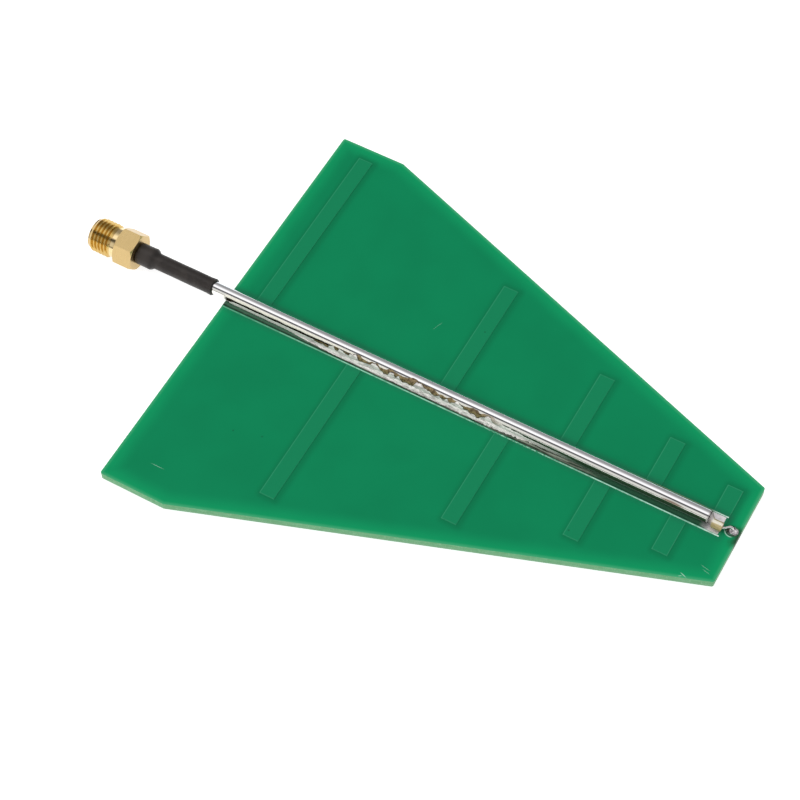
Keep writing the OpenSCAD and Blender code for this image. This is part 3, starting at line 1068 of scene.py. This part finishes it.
def sleeveMaterial():
    s = sleeveLook
    material, place, finish = startMaterial("satinSleeve", s)
    colour = mottled(cloud(place, s.scale), s.black)
    return finishMaterial(material, s, finish, colour)


def plasticMaterial(name, colours, heatAndShade):
    p = plasticLook
    material, place, finish = startMaterial(name, p)
    x, _, z = axes(place)
    colour = paint(
        mottled(finish["height"], colours),
        # a painted highlight along the top, then darkening next to the tube's end
        (span(z, *p.crownFrom), p.crown), (fall(x, *shifted(p.scorchFade, tubeEnd), heatAndShade), p.scorch))
    depths = [depth * mm for depth in p.glowDepths]
    return finishMaterial(material, p, finish, colour, {
        "Subsurface Weight": p.glowShare, "Subsurface Radius": depths})


# levelled tin of the strip, dark with flux along the seam and bright at the feed end

stripLook = settings(
    tin=((0.68, 0.64, 0.66), (0.92, 0.88, 0.9)), joint=(-1.5, 0.5), rag=(0.9, 4, 0.4),
    inner=(-0.8, -0.6), outer=(-1.72, -1.3), streakNoise=((0.25, 4, 4), 1.0, 4), streaks=(0.4, 0.6),
    flux=((0.045, 0.065, 0.045), (0.29, 0.32, 0.26)), startFlux=(0.06, 0.13, 0.085), startTo=(38, 54),
    endFlux=(0.028, 0.095, 0.052), endFrom=(93, 101),
    shadow=((0.006, 0.02, 0.01), (0.01, 0.048, 0.026)), shadowShare=0.85,
    fluxDull=0.2, fluxCover=0.85, bareFrom=(-0.6, 0.4), bareCover=0.5,
    grain=(0.5, 2.5, 0.24, 0.12), bump=(1.0, 0.015), gloss=0.08,
)


def stripMaterial():
    s = stripLook
    material, place, finish = startMaterial("tinnedStrip", s)
    x, y, _ = axes(place)
    joined = fall(x, *shifted(s.joint, tubeEnd))
    inner = times(fall(y, *s.inner), joined)
    outer = times(fall(plus(y, ragged(place, *s.rag)), *s.outer), joined)
    ending = span(x, *s.endFrom)
    flux = tint(span(streaked(place, *s.streakNoise), *s.streaks), *s.flux)
    flux = paint(flux, (fall(x, *s.startTo), s.startFlux), (ending, s.endFlux))
    colour = paint(
        mottled(finish["height"], s.tin),
        (inner, flux), (times(outer, s.shadowShare), tint(ending, *s.shadow)))
    bare = span(x, *shifted(s.bareFrom, tubeEnd), 0.0, s.bareCover)
    return finishMaterial(material, s, finish, colour, {
        "Roughness": plus(finish["roughness"], times(inner, s.fluxDull)),
        "Metallic": minus(1.0, times(inner, s.fluxCover), bare)})


# bright drawn tin of the tube, filmed and darkened where flux ran along the joint, the darkening partly a
# painted dark reflection; a painted reflection of the board on the far side and painted shade round the cut
# end

tubeLook = settings(
    stretch=(0.12, 1, 1), tin=((0.82, 0.81, 0.83), (0.9, 0.89, 0.91)),
    # the cool tint on the far side is a painted reflection of the green board
    cool=(0.77, 0.81, 0.85), coolFrom=(0.1, 0.6), warm=(0.93, 0.92, 0.86), warmTo=(0.82, 0.96),
    joint=(-0.3, 0.6), level=0.48, climb=0.16, climbFrom=(42, 50), climbTo=(76, 86),
    rag=(0.5, 3, 0.3), ragAlong=(82, 92, 1.0, 0.2), darkEdge=(-0.06, 0.06),
    # the dark colours of the near flank below the seam are flux and a painted dark reflection
    burnt=((0.012, 0.01, 0.006), (0.03, 0.062, 0.032)), burntAlters=(60, 96),
    film=(0.84, 0.8, 0.7), filmTop=(0.78, 0.93), filmThins=(46, 78, 1.0, 0.35), filmTo=(78, 90),
    smudge=(0.3, 0.19, 0.12), smudgeAt=(111.6, 0.6), smudgeHalf=(2.6, 0.3),
    cut=(0.55, 0.52, 0.5), cutFrom=(-0.6, -0.25),
    # the ring is painted shade round the rounded cut end
    ring=(0.09, 0.085, 0.09), ringFrom=(-0.3, -0.2), ringTo=(-0.08, -0.02), ringShare=0.85,
    cutDull=0.2, filmDull=0.2, darkDull=0.3, filmCover=0.75, darkCover=0.9,
    grain=(0.35, 1.6, 0.12, 0.06), bump=(1.0, 0.012), gloss=0.4,
)


def tubeMaterial():
    t = tubeLook
    material, place, finish = startMaterial("drawnTin", t)
    x, y, z = axes(place)
    near = below(y, 0.0)
    jointed = times(span(x, *shifted(t.joint, boardStart)), near)
    rag = times(ragged(place, *t.rag), span(x, *t.ragAlong))
    level = plus(times(between(x, t.climbFrom, t.climbTo), t.climb), t.level, rag)
    # below this level the near flank is darkened, partly by flux and partly as a painted dark reflection of
    # the board
    dark = times(span(minus(level, z), *t.darkEdge), jointed)
    clear = minus(1.0, dark)
    film = times(fall(z, *t.filmTop), jointed, span(x, *t.filmThins), fall(x, *t.filmTo), clear)
    smudge = times(stroke(x, z, t.smudgeAt, 0, t.smudgeHalf), near)
    burnt = tint(span(x, *t.burntAlters), *t.burnt)
    cut = span(x, *shifted(t.cutFrom, tubeEnd))
    # painted shade round the rounded cut end
    ring = times(between(x, shifted(t.ringFrom, tubeEnd), shifted(t.ringTo, tubeEnd)), t.ringShare)
    colour = paint(
        mottled(finish["height"], t.tin),
        # a painted reflection of the board on the far side, then the warm near band and the flux film
        (span(y, *t.coolFrom), t.cool), (times(near, fall(z, *t.warmTo)), t.warm), (film, t.film),
        (smudge, t.smudge), (dark, burnt), (cut, t.cut), (ring, t.ring))
    dulled = plus(times(cut, t.cutDull), times(film, t.filmDull), times(dark, t.darkDull))
    cover = plus(times(film, t.filmCover), times(dark, t.darkCover))
    return finishMaterial(material, t, finish, colour, {
        "Roughness": plus(finish["roughness"], dulled), "Metallic": minus(1.0, cover),
        "Specular IOR Level": times(clear, t.gloss)})


# gold plate with fine turning lines round its axis, deeper in the thread and painted paler on the neck, a
# painted light over its shaded recess

goldLook = settings(
    # the neck colour is painted light over the shaded gap between thread and hexagon
    stretch=(9, 0.6, 0.6), colours=((0.61, 0.44, 0.2), (0.62, 0.415, 0.12)), neck=(0.85, 0.66, 0.36),
    threadFrom=(0.0, 0.7), threadTo=(-0.3, 0.0), neckFrom=(-0.1, 0.1), hexFrom=(-0.2, -0.05),
    worn=(0.66, 0.49, 0.24), wornScale=0.8, wornNoise=(0.4, 0.7, 0.0, 0.3),
    polish=0.5, threadDull=0.25, grain=(0.8, 2.5, 0.32, 0.26), bump=(0.5, 0.002), metal=1.0,
)


def goldMaterial():
    g = goldLook
    material, place, finish = startMaterial("goldPlate", g)
    x = axes(place)[0]
    hexagon = shifted(g.hexFrom, jack.hexStart)
    threaded = between(x, shifted(g.threadFrom, jack.pilotEnd), shifted(g.threadTo, jack.threadEnd))
    neck = between(x, shifted(g.neckFrom, jack.threadEnd), hexagon)
    worn = span(cloud(place, g.wornScale), *g.wornNoise)
    # the neck is painted light, lifting the shaded gap between thread and hexagon
    colour = paint(tint(threaded, *g.colours), (neck, g.neck), (worn, g.worn))
    polish = plus(span(x, *hexagon, g.polish, 1.0), times(threaded, g.threadDull))
    return finishMaterial(material, g, finish, colour, {"Roughness": times(finish["roughness"], polish)})


# solder of the seam, pale and even where it is clean, under a crust of flux where it is rough

solderLook = settings(
    stretch=(0.7, 2, 2), streakNoise=((0.6, 2.6, 2.6), 1.2, 5, 0.65), streaks=(0.36, 0.58),
    spotNoise=((0.3, 0.01, 0.01), 1.0, 2), spots=(0.42, 0.58, 0.8, -0.25), rag=(0.9, 4, 1.7),
    fluxFrom=(41, 44), fluxTo=(0, 6), cleanDirt=0.05, roughDirt=0.7,
    bare=((0.93, 0.88, 0.85), (0.34, 0.3, 0.29)), end=(0.06, 0.12, 0.08), endFrom=(84, 95),
    crust=((0.075, 0.045, 0.017), (0.28, 0.205, 0.1)), crustScale=2.2, crustEdge=(-0.1, 0.02),
    rim=(0.035, 0.022, 0.01), rimFrom=(-0.16, -0.04), rimTo=(0.0, 0.16), rimShare=0.85,
    cleanMetal=0.05, roughMetal=0.05, grain=(0.9, 3.0, 0.5, 0.28), bump=(0.7, 0.08),
)


def solderMaterial():
    s = solderLook
    material, place, finish = startMaterial("solderAndFlux", s)
    x, y, z = axes(place)
    reach = times(between(x, s.fluxFrom, shifted(s.fluxTo, seam.roughTo[0])), below(y, 0.0))
    spots = span(streaked(place, *s.spotNoise), *s.spots)
    height = plus(minus(z, spots), ragged(place, *s.rag))
    flux = times(span(height, *s.crustEdge), reach)
    streaks = fall(streaked(place, *s.streakNoise), *s.streaks)
    dirt = times(streaks, plus(times(reach, s.roughDirt), s.cleanDirt))
    crust = mottled(cloud(place, s.crustScale), s.crust)
    rim = times(between(height, s.rimFrom, s.rimTo), reach, s.rimShare)
    colour = paint(tint(dirt, *s.bare), (span(x, *s.endFrom), s.end), (flux, crust), (rim, s.rim))
    metal = times(plus(times(reach, s.roughMetal), s.cleanMetal), minus(1.0, flux))
    return finishMaterial(material, s, finish, colour, {"Metallic": metal})


# every piece gets its material

def dress(piece, material):
    piece.data.materials.clear()
    piece.data.materials.append(material)


etchedCopper = metalMaterial("etchedCopper")
dullSolder = metalMaterial("dullSolder")
goldPlate = goldMaterial()
finishes = {
    nodes["board_core"]: laminateMaterial(),
    nodes["top_copper"]: etchedCopper,
    nodes["bottom_copper"]: etchedCopper,
    nodes["top_mask"]: maskMaterial("topMask", "top_copper"),
    nodes["bottom_mask"]: maskMaterial("bottomMask", "bottom_copper"),
    nodes["boom_tin"]: stripMaterial(),
    nodes["feed_via"]: metalMaterial("platedHole"),
    nodes["jack_insulator"]: plasticMaterial("whiteInsulator", plasticLook.white, 0.0),
    nodes["jack_contact"]: goldPlate,
    nodes["jack_solder"]: dullSolder,
    jackBody: goldPlate,
    coaxTube: tubeMaterial(),
    coaxDielectric: plasticMaterial("tannedDielectric", plasticLook.tanned, plasticLook.tubeHeat),
    coaxWire: metalMaterial("silveredWire"),
    shrinkSleeve: sleeveMaterial(),
    seamSolder: solderMaterial(),
    feedSolder: dullSolder,
}
for piece, material in finishes.items():
    dress(piece, material)
print("materials:", len(bpy.data.materials))


# stage: white sweep, a long soft box overhead and grey walls

studio = settings(
    floorSize=6000, floorX=60, floorGap=0.02, floorColour=(0.5, 0.5, 0.5), floorShade=0.99,
    floorNoise=(0.02, 2), floorRoughness=0.9, floorGloss=0.1, glowColour=(1, 1, 1), floorGlow=0.8,
    strength=1.0,
    stops=((-180, 0.9), (-110, 0.85), (-95, 0.37), (-60, 0.33), (-46, 0.35), (-34, 0.48), (-22, 0.78),
           (-10, 1.2), (12, 1.25), (22, 0.08), (36, 0.1), (50, 0.75), (76, 0.78), (86, 0.06), (100, 0.05),
           (112, 0.85), (180, 0.9)),
    sunFrom=(-0.4, -0.45, 0.8), sunStrength=1.68, sunSpread=60,
)


def makeFloor(s):
    place = (s.floorX * mm, 0, cadBox[0].z - s.floorGap * mm)
    bpy.ops.mesh.primitive_plane_add(size=s.floorSize * mm, location=place)
    floor = bpy.context.object
    floor.name = "paleFloor"
    material, tree, shader = newMaterial("paleFloor")
    darker = [channel * s.floorShade for channel in s.floorColour]
    colour = tint(cloud(millimetres(tree), *s.floorNoise), darker, s.floorColour)
    plugAll(shader, {"Base Color": colour, "Roughness": s.floorRoughness, "Specular IOR Level": s.floorGloss,
                     "Emission Color": s.glowColour, "Emission Strength": s.floorGlow})
    dress(floor, material)


def makeSurround(s):  # brightness by the angle about the boom, from floor to floor over the top
    world = bpy.data.worlds.new("softStudio")
    bpy.context.scene.world = world
    world.use_nodes = True
    tree = world.node_tree
    _, y, z = axes(tree.nodes.new("ShaderNodeTexCoord").outputs["Generated"])
    angle = calc("ARCTAN2", times(y, -1.0), z)
    middle = 0.5  # of the ramp, straight up
    ramp = tree.nodes.new("ShaderNodeValToRGB")
    while len(ramp.color_ramp.elements) < len(s.stops):
        ramp.color_ramp.elements.new(middle)
    for element, (degrees, level) in zip(ramp.color_ramp.elements, s.stops):
        element.position = degrees / 360 + middle
        element.color = (level, level, level, 1)
    plug(ramp.inputs[0], plus(divide(angle, 2 * math.pi), middle))
    plugAll(tree.nodes["Background"], {"Color": ramp.outputs[0], "Strength": s.strength})


def makeSun(s):  # fills matt surfaces and stays out of the reflections
    bpy.ops.object.light_add(type="SUN")
    sun = bpy.context.object
    sun.name = "softSun"
    sun.rotation_euler = Vector(s.sunFrom).to_track_quat("Z", "Y").to_euler()
    sun.data.energy = s.sunStrength
    sun.data.angle = math.radians(s.sunSpread)
    sun.visible_glossy = False


makeFloor(studio)
makeSurround(studio)
makeSun(studio)
bpy.context.scene.view_settings.view_transform = "Standard"
print("stage set")
